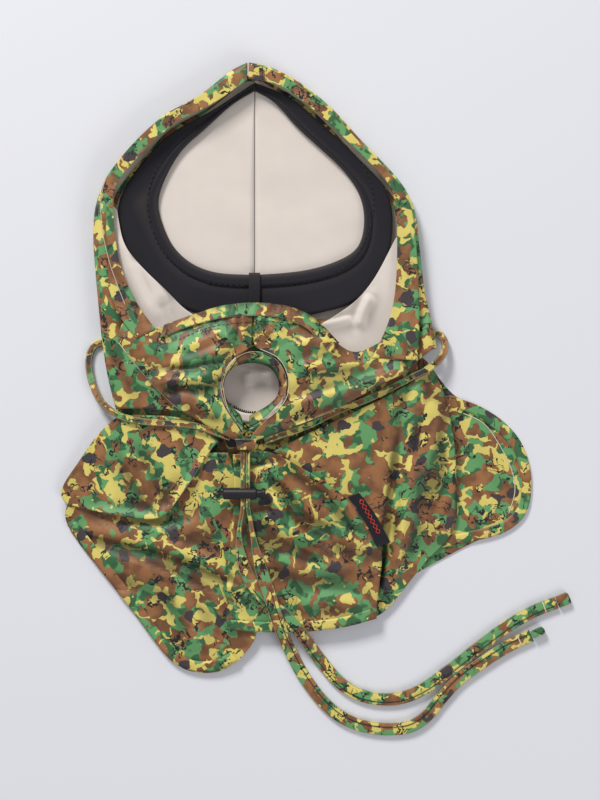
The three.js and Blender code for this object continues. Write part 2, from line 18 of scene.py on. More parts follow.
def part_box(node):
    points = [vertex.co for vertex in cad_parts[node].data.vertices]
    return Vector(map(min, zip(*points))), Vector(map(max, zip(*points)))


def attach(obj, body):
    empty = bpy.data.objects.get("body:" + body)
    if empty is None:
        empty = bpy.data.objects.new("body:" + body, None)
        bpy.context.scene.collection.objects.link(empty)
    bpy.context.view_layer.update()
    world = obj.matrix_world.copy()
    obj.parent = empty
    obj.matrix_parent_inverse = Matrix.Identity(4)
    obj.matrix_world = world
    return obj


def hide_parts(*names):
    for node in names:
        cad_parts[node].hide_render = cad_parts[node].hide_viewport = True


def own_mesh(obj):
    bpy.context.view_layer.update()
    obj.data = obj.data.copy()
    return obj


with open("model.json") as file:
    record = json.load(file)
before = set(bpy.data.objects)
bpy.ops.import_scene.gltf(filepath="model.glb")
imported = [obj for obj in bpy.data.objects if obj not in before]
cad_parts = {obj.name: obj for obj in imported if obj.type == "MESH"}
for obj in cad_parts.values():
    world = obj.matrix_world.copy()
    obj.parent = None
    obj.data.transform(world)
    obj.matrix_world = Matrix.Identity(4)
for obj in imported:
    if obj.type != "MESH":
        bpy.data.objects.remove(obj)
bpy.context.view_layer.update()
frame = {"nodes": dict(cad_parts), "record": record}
nodes = frame["nodes"]
MM = 0.001
GARMENT = "garment"
LOCK = "cord_lock"

# %% [markdown]
# ## Camera and floor
# The garment lies on a pale table and is seen from straight above. The camera hangs high with a long
# lens, so that the edges of the flat hood are not seen from the side.

# %% Camera and floor
VIEW_HEIGHT = 1.3
VIEW_TALL = 0.64
VIEW_MIDDLE = Vector((3.2, -25.2, 0)) * MM
SENSOR = 36

scene = bpy.context.scene
scene.view_settings.view_transform = "Standard"
camera = bpy.data.objects.new("camera", bpy.data.cameras.new("camera"))
camera.location = VIEW_MIDDLE + Vector((0, 0, VIEW_HEIGHT))
camera.data.sensor_width = SENSOR
camera.data.lens = SENSOR * VIEW_HEIGHT / VIEW_TALL
scene.collection.objects.link(camera)
scene.camera = camera


def mesh_object(name, shape):
    """Turns a bmesh into an object of its own in the scene."""
    mesh = bpy.data.meshes.new(name)
    shape.to_mesh(mesh)
    shape.free()
    made = bpy.data.objects.new(name, mesh)
    scene.collection.objects.link(made)
    return made


TABLE_HALF = 2.5
TABLE_GAP = 0.4
shape = bmesh.new()
bmesh.ops.create_grid(shape, x_segments=1, y_segments=1, size=TABLE_HALF)
bmesh.ops.translate(shape, verts=shape.verts, vec=(0, 0, -TABLE_GAP * MM))
table = mesh_object("table", shape)
print("camera covers", VIEW_TALL, "m from", VIEW_HEIGHT, "m up")

# %% [markdown]
# ## Light
# One broad window of light comes from beyond the crown. A weaker one faces it from beyond the cape, so
# that the cape doesn't fall off into the dark, and an even surround fills the shadows.

# %% Light


def window(name, place, aim, size, power, tint):
    """A square soft light that faces a point."""
    light = bpy.data.lights.new(name, "AREA")
    light.size = size
    light.energy = power
    light.color = tint
    made = bpy.data.objects.new(name, light)
    made.location = place
    made.rotation_euler = (Vector(aim) - Vector(place)).to_track_quat("-Z", "Y").to_euler()
    scene.collection.objects.link(made)


window("key", (-1.3, 2.7, 1.9), (0, 0, 0), 0.9, 118, (1.0, 0.985, 0.96))
window("fill", (1.9, -1.9, 1.7), (0, -0.1, 0), 1.4, 26, (1.0, 0.98, 0.97))
SURROUND = (0.86, 0.87, 0.9, 1)
SURROUND_STRENGTH = 0.46
world = bpy.data.worlds.new("surround")
world.use_nodes = True
world.node_tree.nodes["Background"].inputs["Color"].default_value = SURROUND
world.node_tree.nodes["Background"].inputs["Strength"].default_value = SURROUND_STRENGTH
scene.world = world

# %% [markdown]
# ## Writing materials as sums
# A Number wraps one socket, and +, -, * and abs() add the Math nodes. Every other node
# comes from Finish.node, which takes a node's type, its settings and the values of its sockets.

# %% Numbers and nodes


class Number:
    """A value in a material that Python's operators work on."""

    def __init__(self, finish, socket):
        self.finish = finish
        self.socket = socket

    def _math(self, operation, first, second):
        return self.finish.node("ShaderNodeMath", {"operation": operation}, {0: first, 1: second})

    def __add__(self, other):
        return self._math("ADD", self, other)

    def __sub__(self, other):
        return self._math("SUBTRACT", self, other)

    def __mul__(self, other):
        return self._math("MULTIPLY", self, other)

    def __abs__(self):
        return self._math("ABSOLUTE", self, 0)


class Finish:
    """A new material with one principled surface."""

    def __init__(self, name, roughness, **fixed):
        self.material = bpy.data.materials.new(name)
        self.material.use_nodes = True
        self.tree = self.material.node_tree
        self.surface = self.tree.nodes["Principled BSDF"]
        self.surface.inputs["Roughness"].default_value = roughness
        for name, value in fixed.items():
            self.surface.inputs[name.replace("_", " ")].default_value = value

    def node(self, kind, settings=None, values=None, out=0):
        """Adds a node. values maps a socket's name or number to a value, a colour or another Number."""
        made = self.tree.nodes.new(kind)
        for name, value in (settings or {}).items():
            setattr(made, name, value)
        for name, value in (values or {}).items():
            socket = made.inputs[name]
            if isinstance(value, Number):
                self.tree.links.new(value.socket, socket)
            else:
                socket.default_value = value
        return Number(self, made.outputs[out])

    def noise(self, at, scale, detail=2.0, roughness=0.5, distortion=0.0, out=0):
        values = {"Vector": at, "Scale": scale, "Detail": detail, "Roughness": roughness}
        values["Distortion"] = distortion
        return self.node("ShaderNodeTexNoise", {}, values, out)

    def mix(self, factor, first, second):
        return self.node("ShaderNodeMix", {"data_type": "RGBA"}, {0: factor, 6: first, 7: second}, 2)

    def soft(self, value, low, high):
        """0 below low, 1 above high, and smooth between them."""
        values = {"Value": value, "From Min": low, "From Max": high}
        return self.node("ShaderNodeMapRange", {"interpolation_type": "SMOOTHSTEP"}, values)

    def shift(self, at, by, amount):
        """Moves a place by a colour that runs from 0 to 1, so that a pattern's edges wander."""
        centred = self.node("ShaderNodeVectorMath", {"operation": "SUBTRACT"}, {0: by, 1: (0.5, 0.5, 0.5)})
        scaled = self.node("ShaderNodeVectorMath", {"operation": "SCALE"}, {0: centred, "Scale": amount})
        return self.node("ShaderNodeVectorMath", {"operation": "ADD"}, {0: at, 1: scaled})

    def place(self):
        return self.node("ShaderNodeTexCoord", out=3)

    def attribute(self, name, out=1):
        return self.node("ShaderNodeAttribute", {"attribute_name": name}, out=out)

    def finish(self, colour=None, bump=None, strength=0.3, depth=1 * MM, roughness=None):
        """Links what varies over the surface."""
        if colour is not None:
            self.tree.links.new(colour.socket, self.surface.inputs["Base Color"])
        if roughness is not None:
            self.tree.links.new(roughness.socket, self.surface.inputs["Roughness"])
        if bump is not None:
            values = {"Strength": strength, "Distance": depth, "Height": bump}
            normal = self.node("ShaderNodeBump", {}, values)
            self.tree.links.new(normal.socket, self.surface.inputs["Normal"])
        return self.material


def srgb(red, green, blue):
    """A colour of the screen, 0 to 255, as the linear one that a material takes."""
    parts = [c / 255 for c in (red, green, blue)]
    return (*[c / 12.92 if c <= 0.04045 else ((c + 0.055) / 1.055) ** 2.4 for c in parts], 1)


# %% [markdown]
# ## The printed camouflage
# The print has five inks. Brown is the ground. Green patches a thumb wide lie on it, then yellow
# branches with ragged ends, round charcoal spots, and thin black twigs on top. Noise read at a
# place on the cloth gives each ink its mask. The place is an attribute that each panel is given
# before it is folded, so the print bends with the cloth and breaks at the seams. A second attribute
# says how deep each point lies in a fold, and the colour is darkened there as painted shade in the creases.

# %% The camouflage
PRINT = "print_at"
HOLLOW = "hollow"
PRINT_SCALE = 1.42
# How much painted shade darkens the print, and how far it greys the plain knits, where the cloth lies in a
# hollow of a fold.
HOLLOW_DARKENS = 0.66
HOLLOW_SHADE_MIX = 0.5


def camouflage(name):
    look = Finish(name, 0.52, Sheen_Weight=0.12, Sheen_Roughness=0.4, Specular_IOR_Level=0.4)
    scaled = {"operation": "SCALE"}
    at = look.node("ShaderNodeVectorMath", scaled, {0: look.attribute(PRINT), "Scale": PRINT_SCALE})
    wander = look.noise(at, 75, 2, out=1)
    ragged = look.noise(at, 240, 1.5, out=1)
    torn = look.shift(look.shift(at, wander, 14 * MM), ragged, 2.2 * MM)
    bent = look.shift(look.shift(at, wander, 9 * MM), ragged, 1.2 * MM)

    ground = look.mix(look.soft(look.noise(at, 55, 3), 0.35, 0.65), srgb(152, 104, 64), srgb(114, 75, 47))
    green = look.soft(look.noise(torn, 46, 1.4), 0.497, 0.508)
    greens = look.mix(look.soft(look.noise(bent, 70, 1), 0.5, 0.56), srgb(96, 152, 96), srgb(54, 100, 62))
    colour = look.mix(green, ground, greens)

    yellow_ink = look.mix(look.noise(at, 40, 2), srgb(226, 210, 118), srgb(200, 184, 88))
    arm = abs(look.noise(torn, 36, 1, distortion=0.4) - 0.5)
    broken = look.soft(look.noise(look.shift(at, ragged, 5 * MM), 48, 1), 0.485, 0.5)
    branch = look.soft(look.noise(at, 60, 1) * 0.12 - arm, 0.0, 0.007) * broken
    patch = look.soft(look.noise(torn, 60, 1.2), 0.675, 0.685)
    colour = look.mix(branch, colour, yellow_ink)
    colour = look.mix(patch, colour, yellow_ink)

    cells = {"Vector": bent, "Scale": 18.0, "Randomness": 1.0}
    distance = look.node("ShaderNodeTexVoronoi", {"voronoi_dimensions": "2D"}, cells)
    spot = look.soft(distance + look.noise(torn, 60, 1) * 0.5, 0.365, 0.35)
    colour = look.mix(spot, colour, srgb(64, 57, 60))

    line = abs(look.noise(look.shift(bent, ragged, 1.6 * MM), 64, 1.5, distortion=1.0) - 0.5)
    thorn = look.noise(at, 330, 1.0) * 0.10 - 0.024
    where = look.soft(look.noise(at, 40, 0.5), 0.525, 0.54)
    twig = look.soft(thorn - line, -0.004, 0.006) * where
    colour = look.mix(twig, colour, srgb(34, 31, 31))

    shade = look.noise(at, 500, 2) * 0.16 + 0.94
    # Painted shade: the print is darkened where the cloth lies in a hollow of a fold.
    crease_shade = look.attribute(HOLLOW, 2) * HOLLOW_DARKENS
    colour = look.node("ShaderNodeHueSaturation", {}, {"Value": shade - crease_shade, "Color": colour})
    rows = look.node("ShaderNodeMapping", {}, {"Vector": at, "Scale": (1, 0.35, 1)})
    knit = look.noise(rows, 1500, 1)
    return look.finish(colour, knit, strength=0.3, depth=0.25 * MM)


CAMOUFLAGE = camouflage("camouflage_print")


def plain_cloth(name, light, dark, roughness, rib=900, depth=0.15 * MM):
    """Unprinted knit: faint clouds of colour, painted shade in the hollows of its folds, and fine ribs along
    the cloth.
    """
    look = Finish(name, roughness, Sheen_Weight=0.2, Sheen_Roughness=0.5, Specular_IOR_Level=0.25)
    at = look.attribute(PRINT)
    clouds = look.mix(look.noise(at, 35, 3), light, dark)
    # Painted shade: the knit turns towards a dull grey where the cloth lies in a hollow of a fold.
    colour = look.mix(look.attribute(HOLLOW, 2) * HOLLOW_SHADE_MIX, clouds, srgb(96, 88, 84))
    stretched = look.node("ShaderNodeMapping", {}, {"Vector": at, "Scale": (1, 0.08, 1)})
    ribs = look.noise(stretched, rib, 2)
    return look.finish(colour, ribs, strength=0.35, depth=depth)


LINING = plain_cloth("lining_knit", srgb(224, 214, 205), srgb(210, 200, 191), 0.8)
REVERSE = plain_cloth("reverse_knit", srgb(214, 206, 190), srgb(198, 188, 170), 0.85)
EDGING = plain_cloth("edge_knit", srgb(172, 162, 122), srgb(112, 108, 76), 0.85)
BLACK_KNIT = plain_cloth("black_knit", srgb(25, 22, 31), srgb(18, 16, 23), 0.7, 1300, 0.2 * MM)


def plain(name, colour, roughness, **fixed):
    """A finish of one colour with a fine grain in its gloss."""
    look = Finish(name, roughness, Base_Color=colour, **fixed)
    grain = look.noise(look.place(), 900, 2)
    return look.finish(None, grain, strength=0.15, depth=0.1 * MM, roughness=grain * 0.2 + (roughness - 0.1))


PLASTIC = plain("moulded_black", srgb(26, 25, 28), 0.36)
STEEL = plain("spring_wire", srgb(170, 170, 174), 0.3, Metallic=1.0)
PALE_THREAD = plain("pale_thread", srgb(214, 204, 180), 0.7)
# Dark thread for the stitches over the nose; the same finish also paints the shadow inside the mouth's ring.
DARK_THREAD_AND_SHADOW = plain("dark_thread_and_shadow", srgb(44, 46, 36), 0.7)
BLACK_THREAD = plain("black_thread", srgb(20, 19, 24), 0.6)
RED_THREAD = plain("red_thread", srgb(196, 52, 38), 0.6)
TABLE_TOP = plain("table_paint", srgb(222, 223, 229), 0.75)
table.data.materials.append(TABLE_TOP)
print("materials:", len(bpy.data.materials))

# %% [markdown]
# ## The flat cord
# The cord is a tape of the same printed cloth, folded and sewn. Round the neck and at the lock it is
# folded once more, so that its two pale cut edges lie side by side with a dark groove between them.
# Past the lock it opens out to its full 10 mm. A ring of points is laid across the route at each
# step, and each ring is bridged to the next.

# %% A smooth route
CURVE_STEPS = 12


def smooth_route(points, step):
    """Even steps along a smooth curve through [x, y, z] points in millimetres. Returns metres."""
    rough = [Vector(p) * MM for p in points]
    dense = []
    for i in range(len(rough) - 1):
        p0, p1, p2, p3 = rough[max(i - 1, 0)], rough[i], rough[i + 1], rough[min(i + 2, len(rough) - 1)]
        for k in range(CURVE_STEPS):
            t = k / CURVE_STEPS
            dense.append(
                0.5 * (2 * p1 + (p2 - p0) * t + (2 * p0 - 5 * p1 + 4 * p2 - p3) * t**2
                       + (3 * p1 - p0 - 3 * p2 + p3) * t**3)
            )
    dense.append(rough[-1])
    lengths = [0.0]
    for a, b in zip(dense, dense[1:]):
        lengths.append(lengths[-1] + (b - a).length)
    count = max(2, round(lengths[-1] / (step * MM)))
    even, i = [], 0
    for k in range(count + 1):
        wanted = lengths[-1] * k / count
        while i < len(dense) - 2 and lengths[i + 1] < wanted:
            i += 1
        share = (wanted - lengths[i]) / (lengths[i + 1] - lengths[i])
        even.append(dense[i].lerp(dense[i + 1], min(1, share)))
    return even


def sweep(shape, path, section):
    """Adds a closed tube. section(k, share) gives the ring across point k of the path as (across, up,
    slot) in metres, where slot is the material of the faces that start there. Returns the rings."""
    rings, slots, loops = [], {}, []
    for k, point in enumerate(path):
        ahead = (path[min(k + 1, len(path) - 1)] - path[max(k - 1, 0)]).normalized()
        across = ahead.cross(Vector((0, 0, 1))).normalized()
        up = across.cross(ahead).normalized()
        ring = [(shape.verts.new(point + across * u + up * v), u, v, slot)
                for u, v, slot in section(k, k / (len(path) - 1))]
        loop = []
        for i, (vertex, _, _, slot) in enumerate(ring):
            after = ring[(i + 1) % len(ring)][0]
            loop.append(shape.edges.new((vertex, after)))
            slots[frozenset((vertex, after))] = slot
        rings.append(ring)
        loops.append(loop)
    faces = []
    for before, after in zip(loops, loops[1:]):
        faces += bmesh.ops.bridge_loops(shape, edges=before + after)["faces"]
    for ring in (rings[0], rings[-1]):
        shape.faces.new([v for v, *_ in ring])
    for face in faces:
        for edge in face.edges:
            face.material_index = slots.get(frozenset(edge.verts), face.material_index)
    return rings


def loft(name, path, section, looks):
    """A tube as a piece of its own, and where each of its points lies along and across it."""
    shape = bmesh.new()
    rings = sweep(shape, path, section)
    bmesh.ops.recalc_face_normals(shape, faces=shape.faces)
    places = []
    walked = 0.0
    for k, ring in enumerate(rings):
        walked += (path[k] - path[k - 1]).length if k else 0
        places += [(walked, u, v) for _, u, v, _ in ring]
    made = mesh_object(name, shape)
    for look in looks:
        made.data.materials.append(look)
    made.data.shade_smooth()
    return made, np.array(places)


def store_print(made, places, shift):
    layer = made.data.attributes.new(PRINT, "FLOAT_VECTOR", "POINT")
    layer.data.foreach_set("vector", (places + np.array(shift)).astype(np.float32).ravel())


print("a route is cut into even steps along", CURVE_STEPS, "parts of a curve for each of its points")

# %% The tape's section
FOLDED = {"width": 3.5, "height": 3.0}
OPEN = {"width": 10.0, "height": 2.2}


def tape_section(opens_from, opens_to, folded=FOLDED):
    """Folded before the share opens_from of the route, and flat after opens_to."""

    def section(k, share):
        f = min(1, max(0, (share - opens_from) / (opens_to - opens_from)))
        f = f * f * (3 - 2 * f)
        half = (folded["width"] + f * (OPEN["width"] - folded["width"])) / 2 * MM
        high = (folded["height"] + f * (OPEN["height"] - folded["height"])) / 2 * MM
        outer, inner = 0.84 + 0.13 * f, 0.66 + 0.25 * f
        groove = -0.35 + 0.95 * f
        sway = 0.06 * math.sin(k * 0.9)
        ring = [(-1, -0.1, 0), (-outer, 0.8, 1), (-inner, 1.0, 0), (sway, groove, 0), (inner, 1.0, 1),
                (outer, 0.8, 0), (1, -0.1, 0), (0.9, -0.8, 0), (0, -0.9, 0), (-0.9, -0.8, 0)]
        return [(u * half, v * high, slot) for u, v, slot in ring]

    return section


print("the tape opens from", FOLDED, "to", OPEN, "mm")


# %% The cord round the neck
NECK_ROUTE = [
    (-52, -55, 15.5), (-64, -50.5, 15.5), (-77, -46, 15.2), (-92, -44, 14.4), (-106, -43.4, 13.1),
    (-120, -42.4, 12.4), (-134, -39.8, 11.8), (-146, -34.4, 10.6), (-156, -25, 8), (-162.4, -12, 5),
    (-165.2, 0, 3), (-165, 10, 2), (-161, 18, 1.6), (-152, 21.2, 1.5), (-136, 21.5, 1.5), (-90, 21.5, 1.5),
    (-33, 21.5, 1.5), (30, 21.5, 1.5), (80, 21.5, 1.5), (98, 22.5, 1.5), (108, 26.5, 1.6), (114, 27.5, 2.4),
    (118.4, 22, 4.4), (118, 13.4, 7.6), (113, 6, 10.8), (104, -1, 13), (92, -7, 13.3), (79, -13.6, 13.5),
    (60, -23, 14), (35, -33, 14.1), (10, -45, 14.4), (-12, -53, 15), (-25, -57.5, 15.2),
]
NECK_TAPE = {"width": 5.6, "height": 2.3}


def route_length(path):
    return sum((b - a).length for a, b in zip(path, path[1:]))


TAPE_STEP = 2.6
CORD_PATHS = []
trees = {}


def tree_of(made):
    return BVHTree.FromPolygons([v.co for v in made.data.vertices], [p.vertices for p in made.data.polygons])


def tape(name, points, node, section, shift):
    """A flat cord along a route, whose length is printed."""
    path = smooth_route(points, TAPE_STEP)
    CORD_PATHS.append(path)
    made, places = loft(name, path, section, [CAMOUFLAGE, EDGING])
    store_print(made, places, shift)
    trees[name] = tree_of(made)
    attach(made, GARMENT)
    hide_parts(node)
    length = round(route_length(path), 3)
    print(f"{name}: {length * 1000:.0f} mm")
    return made


neck_section = tape_section(2, 3, NECK_TAPE)
tape("neck_tape", NECK_ROUTE, "neck_cord", neck_section, (0.3, 2.2, 0))


# %% The two loose ends
CORD_X = -40
STRAND_APART = 4.1
OPENS = (0.14, 0.24)
END_ROUNDING = 0.8


def strand(x):
    """The straight stretch of one strand from the throat through the lock."""
    return [(x, -65.6, 16.7), (x, -69, 17.3), (x, -74, 17.9), (x, -79, 18.6), (x, -86, 18.3), (x, -93, 18),
            (x, -99.2, 17.8), (x, -104, 17.6), (x, -110, 17.2)]


TAIL_LEFT = [
    *strand(CORD_X - STRAND_APART / 2),
    (-43, -117, 16.4), (-44.6, -125, 15), (-45, -134, 13.9), (-44, -145, 13.3), (-40.6, -158, 12.7),
    (-34.4, -171, 12.2), (-24, -183.6, 11.8), (-11.6, -193.8, 11.8), (-2, -203.4, 12.4), (4.6, -211, 11.6),
    (10.6, -219.6, 7), (16, -228, 3.4), (22.6, -236.6, 2.1), (32, -248, 2.1), (45, -258, 2.1),
    (62, -263.6, 2.1), (82, -263.6, 2.1), (101, -256.4, 2.1), (121, -242.4, 2.1), (144, -224.6, 2.1),
    (168, -206.6, 2.1), (190, -194, 2.1), (208, -187, 2.1),
]
TAIL_RIGHT = [
    *strand(CORD_X + STRAND_APART / 2),
    (-36.6, -117, 16.4), (-34.8, -128, 15), (-32.4, -141, 14), (-28.8, -155, 13.7), (-24.8, -168, 14.4),
    (-20.6, -180, 15.6), (-17.6, -190, 16), (-14.6, -199, 15), (-11.8, -207, 12.6), (-8.8, -215, 9),
    (-5, -224, 4.8), (-1, -232.4, 2.5), (4.6, -243, 2.1), (12, -254, 2.1), (21.6, -266, 2.1),
    (34, -277, 2.1), (50, -284.6, 2.1), (70, -288, 2.1), (90, -286.4, 2.1), (104, -278, 2.1),
    (116, -263.6, 2.1), (130, -248.4, 2.1), (150, -234, 2.1), (170, -221.6, 2.1), (188, -213.2, 2.1),
]


def points_of(made):
    """The corners of a mesh as rows of x, y, z."""
    flat = np.empty(len(made.data.vertices) * 3)
    made.data.vertices.foreach_get("co", flat)
    return flat.reshape(-1, 3)


def merged_copy(node, name):
    """A CAD node's mesh as one piece whose neighbouring faces share their corners."""
    shape = bmesh.new()
    shape.from_mesh(nodes[node].data)
    bmesh.ops.remove_doubles(shape, verts=shape.verts, dist=0.01 * MM)
    bmesh.ops.dissolve_limit(shape, angle_limit=math.radians(2), verts=shape.verts, edges=shape.edges)
    for edge in shape.edges:
        edge.smooth = True
    return mesh_object(name, shape)


def rounded(made, width, angle=30):
    """Softens the edges of a moulded or sewn piece."""
    bevel = made.modifiers.new("edges", "BEVEL")
    bevel.width = width * MM
    bevel.segments = 3
    bevel.limit_method = "ANGLE"
    bevel.angle_limit = math.radians(angle)


def sewn_end(name, node, shift):
    """The end of the tape, folded over itself and sewn flat."""
    made = merged_copy(node, name)
    printed_at = points_of(made) + np.array(shift)
    layer = made.data.attributes.new(PRINT, "FLOAT_VECTOR", "POINT")
    layer.data.foreach_set("vector", printed_at.astype(np.float32).ravel())
    made.data.materials.append(CAMOUFLAGE)
    rounded(made, END_ROUNDING)
    made.data.shade_smooth()
    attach(made, GARMENT)
    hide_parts(node)
    return made


end_left = sewn_end("end_square", "cord_end_square", (0.31, 2.6, 0))
end_right = sewn_end("end_rolled", "cord_end_rolled", (0.52, 2.9, 0))
tape(
    "tail_left_tape", TAIL_LEFT, "cord_tail_left", tape_section(*OPENS), (0.1, 2.4, 0),
)
tape(
    "tail_right_tape", TAIL_RIGHT, "cord_tail_right", tape_section(*OPENS), (1.2, 2.8, 0),
)

# %% [markdown]
# ## Cloth panels
# Each panel starts from the upper skin of its sheet in the frame. Subdivision gives it points every
# few millimetres. Folds then lift it: a fold is a soft ridge along a given line, and each side of
# the line has a slope of its own, so a ridge can fall off steeply like a folded edge.

# %% Upper skin of a sheet
RIM_ANGLE = math.radians(55)


def skin(node):
    """The largest upward skin of a CAD sheet, without its rim and its lower side."""
    shape = bmesh.new()
    shape.from_mesh(nodes[node].data)
    bmesh.ops.remove_doubles(shape, verts=shape.verts, dist=0.01 * MM)
    left = set(shape.faces)
    islands = []
    while left:
        start = left.pop()
        island, edge_of = [start], [start]
        while edge_of:
            face = edge_of.pop()
            for edge in face.edges:
                if len(edge.link_faces) == 2 and edge.calc_face_angle() < RIM_ANGLE:
                    for other in edge.link_faces:
                        if other in left:
                            left.remove(other)
                            island.append(other)
                            edge_of.append(other)
        islands.append(island)
    islands.sort(key=lambda faces: -sum(f.calc_area() for f in faces))
    largest = islands[:2]
    upward = max(largest, key=lambda faces: sum(f.calc_area() * f.normal.z for f in faces))
    keep = set(upward)
    drop = [f for f in shape.faces if f not in keep]
    bmesh.ops.delete(shape, geom=drop, context="FACES")
    loose = [v for v in shape.verts if not v.link_faces]
    bmesh.ops.delete(shape, geom=loose, context="VERTS")
    for edge in shape.edges:
        edge.smooth = True
    wide = math.radians(180)
    bmesh.ops.join_triangles(
        shape, faces=shape.faces, angle_face_threshold=wide, angle_shape_threshold=wide
    )
    return shape


def smoothed(made, levels):
    """Subdivides a mesh and keeps the result."""
    modifier = made.modifiers.new("smooth", "SUBSURF")
    modifier.levels = modifier.render_levels = levels
    modifier.boundary_smooth = "PRESERVE_CORNERS"
    graph = bpy.context.evaluated_depsgraph_get()
    mesh = bpy.data.meshes.new_from_object(made.evaluated_get(graph))
    made.modifiers.clear()
    old = made.data
    made.data = mesh
    bpy.data.meshes.remove(old)


def set_points(made, points):
    """Moves the corners of a mesh to rows of x, y, z."""
    made.data.vertices.foreach_set("co", points.ravel())
    made.data.update()


def printed(made, points, turn=0.0, shift=(0, 0, 0)):
    """Stores where each point lies on the printed cloth."""
    turned = points @ np.array(Matrix.Rotation(math.radians(turn), 3, "Z")).T + np.array(shift)
    layer = made.data.attributes.new(PRINT, "FLOAT_VECTOR", "POINT")
    layer.data.foreach_set("vector", turned.astype(np.float32).ravel())


print("upper skins end where the surface turns by", round(math.degrees(RIM_ANGLE)), "degrees")

# %% Folds
FULLNESS = 1.6
TAPER = 0.22
END_HEIGHT = 0.15
GRAIN = {"length": 3.2, "finer": 2.3, "share": 0.4}
LOCK_MIDDLE = (-41, -94)
LOCK_REACH = (20, 17)
LOCK_FADE = 7
LOCK_HEIGHT = 14
HOLLOW_STEPS = 70
HOLLOW_DEPTH = 0.8
CORD_REACH = 8
CORD_CLEAR = 2.2


def fold(route, wide, high):
    """A ridge (or with a negative height a valley) along a route of [x, y] in millimetres.
    wide is its reach to the left and to the right of the route, in millimetres."""
    return np.array(route, float) * MM, np.array(wide, float) * MM, high * MM


def fold_height(points, folds):
    """How far the folds lift each point."""
    total = np.zeros(len(points))
    for route, wide, high in folds:
        starts, ends = route[:-1], route[1:]
        along = ends - starts
        lengths = np.linalg.norm(along, axis=1)
        before = np.concatenate([[0], np.cumsum(lengths)[:-1]])
        offset = points[:, None, :2] - starts[None]
        share = np.clip((offset * along).sum(2) / lengths**2, 0, 1)
        nearest = offset - share[..., None] * along
        distance = np.linalg.norm(nearest, axis=2)
        best = distance.argmin(1)
        row = np.arange(len(points))
        side = along[best, 0] * nearest[row, best, 1] - along[best, 1] * nearest[row, best, 0]
        reach = np.where(side > 0, wide[0], wide[1])
        place = (before[best] + share[row, best] * lengths[best]) / lengths.sum()
        taper = np.clip(np.minimum(place, 1 - place) / TAPER, 0, 1)
        taper = taper * taper * (3 - 2 * taper)
        peak = FULLNESS * high * (END_HEIGHT + (1 - END_HEIGHT) * taper)
        total += peak * np.exp(-((distance[row, best] / reach) ** 2))
    return total


def ripple(points, across, length, high, seed):
    """Small soft waves that run along one direction: across is their heading in degrees."""
    c, s = math.cos(math.radians(across)), math.sin(math.radians(across))
    heights = []
    for x, y, _ in points:
        u, v = (c * x + s * y) / (length * MM), (c * y - s * x) / (length * GRAIN["length"] * MM)
        finer = noise.noise(Vector((GRAIN["finer"] * u, GRAIN["finer"] * v, seed + 9)))
        heights.append(noise.noise(Vector((u, v, seed))) + GRAIN["share"] * finer)
    return np.array(heights) * high * MM


def hollows(made, points):
    """How deep each point lies below the cloth round it, from 0 to 1: the height is averaged along the
    edges again and again, and the points under that average are the hollows."""
    flat = np.empty(len(made.data.edges) * 2, int)
    made.data.edges.foreach_get("vertices", flat)
    first, second = flat.reshape(-1, 2).T
    height = points[:, 2].copy()
    count = np.bincount(np.concatenate([first, second]), minlength=len(points))
    for _ in range(HOLLOW_STEPS):
        near = np.bincount(first, height[second], len(points))
        near = near + np.bincount(second, height[first], len(points))
        height = 0.5 * height + 0.5 * near / np.maximum(count, 1)
    # The materials darken the colour by this depth: painted shade in the creases.
    depth = (height - points[:, 2]) / (HOLLOW_DEPTH * MM)
    layer = made.data.attributes.new(HOLLOW, "FLOAT", "POINT")
    layer.data.foreach_set("value", np.clip(depth, 0, 1).astype(np.float32))


def under_cords(points, before):
    """Keeps the cloth under a cord just clear of it. before holds the heights of the flat cloth."""
    highest = points[:, 2].copy()
    for i, (x, y, z) in enumerate(points):
        place, _, distance = cord_tree.find((x, y, 0))
        if distance < CORD_REACH * MM:
            limit = cord_heights[(round(place.x, 6), round(place.y, 6))] - CORD_CLEAR * MM
            if before[i] <= limit:
                highest[i] = min(z, limit)
            elif before[i] < limit + CORD_CLEAR * MM:
                highest[i] = min(z, before[i])
    return highest


def under_lock(points, before):
    """Keeps the cloth flat where the lock slides, and fades the folds in round it."""
    outside = np.abs(points[:, :2] - np.array(LOCK_MIDDLE) * MM) - np.array(LOCK_REACH) * MM
    far = np.linalg.norm(np.maximum(outside, 0), axis=1)
    share = np.clip(far / (LOCK_FADE * MM), 0, 1)
    share = share * share * (3 - 2 * share)
    raised = np.maximum(points[:, 2] - before, 0)
    return np.where(before < LOCK_HEIGHT * MM, points[:, 2] - raised * (1 - share), points[:, 2])


cord_points = [p for path in CORD_PATHS for p in path]
cord_tree = KDTree(len(cord_points))
for i, p in enumerate(cord_points):
    cord_tree.insert((p.x, p.y, 0), i)
cord_tree.balance()
cord_heights = {}
for p in cord_points:
    place = cord_tree.find((p.x, p.y, 0))[0]
    key = (round(place.x, 6), round(place.y, 6))
    cord_heights[key] = min(cord_heights.get(key, 1), p.z)

SHEETS = {}
THICK = 0.7
FLOOR_CLEAR = 0.05
print("folds keep clear of", len(cord_points), "points of cord and of the lock's slide")


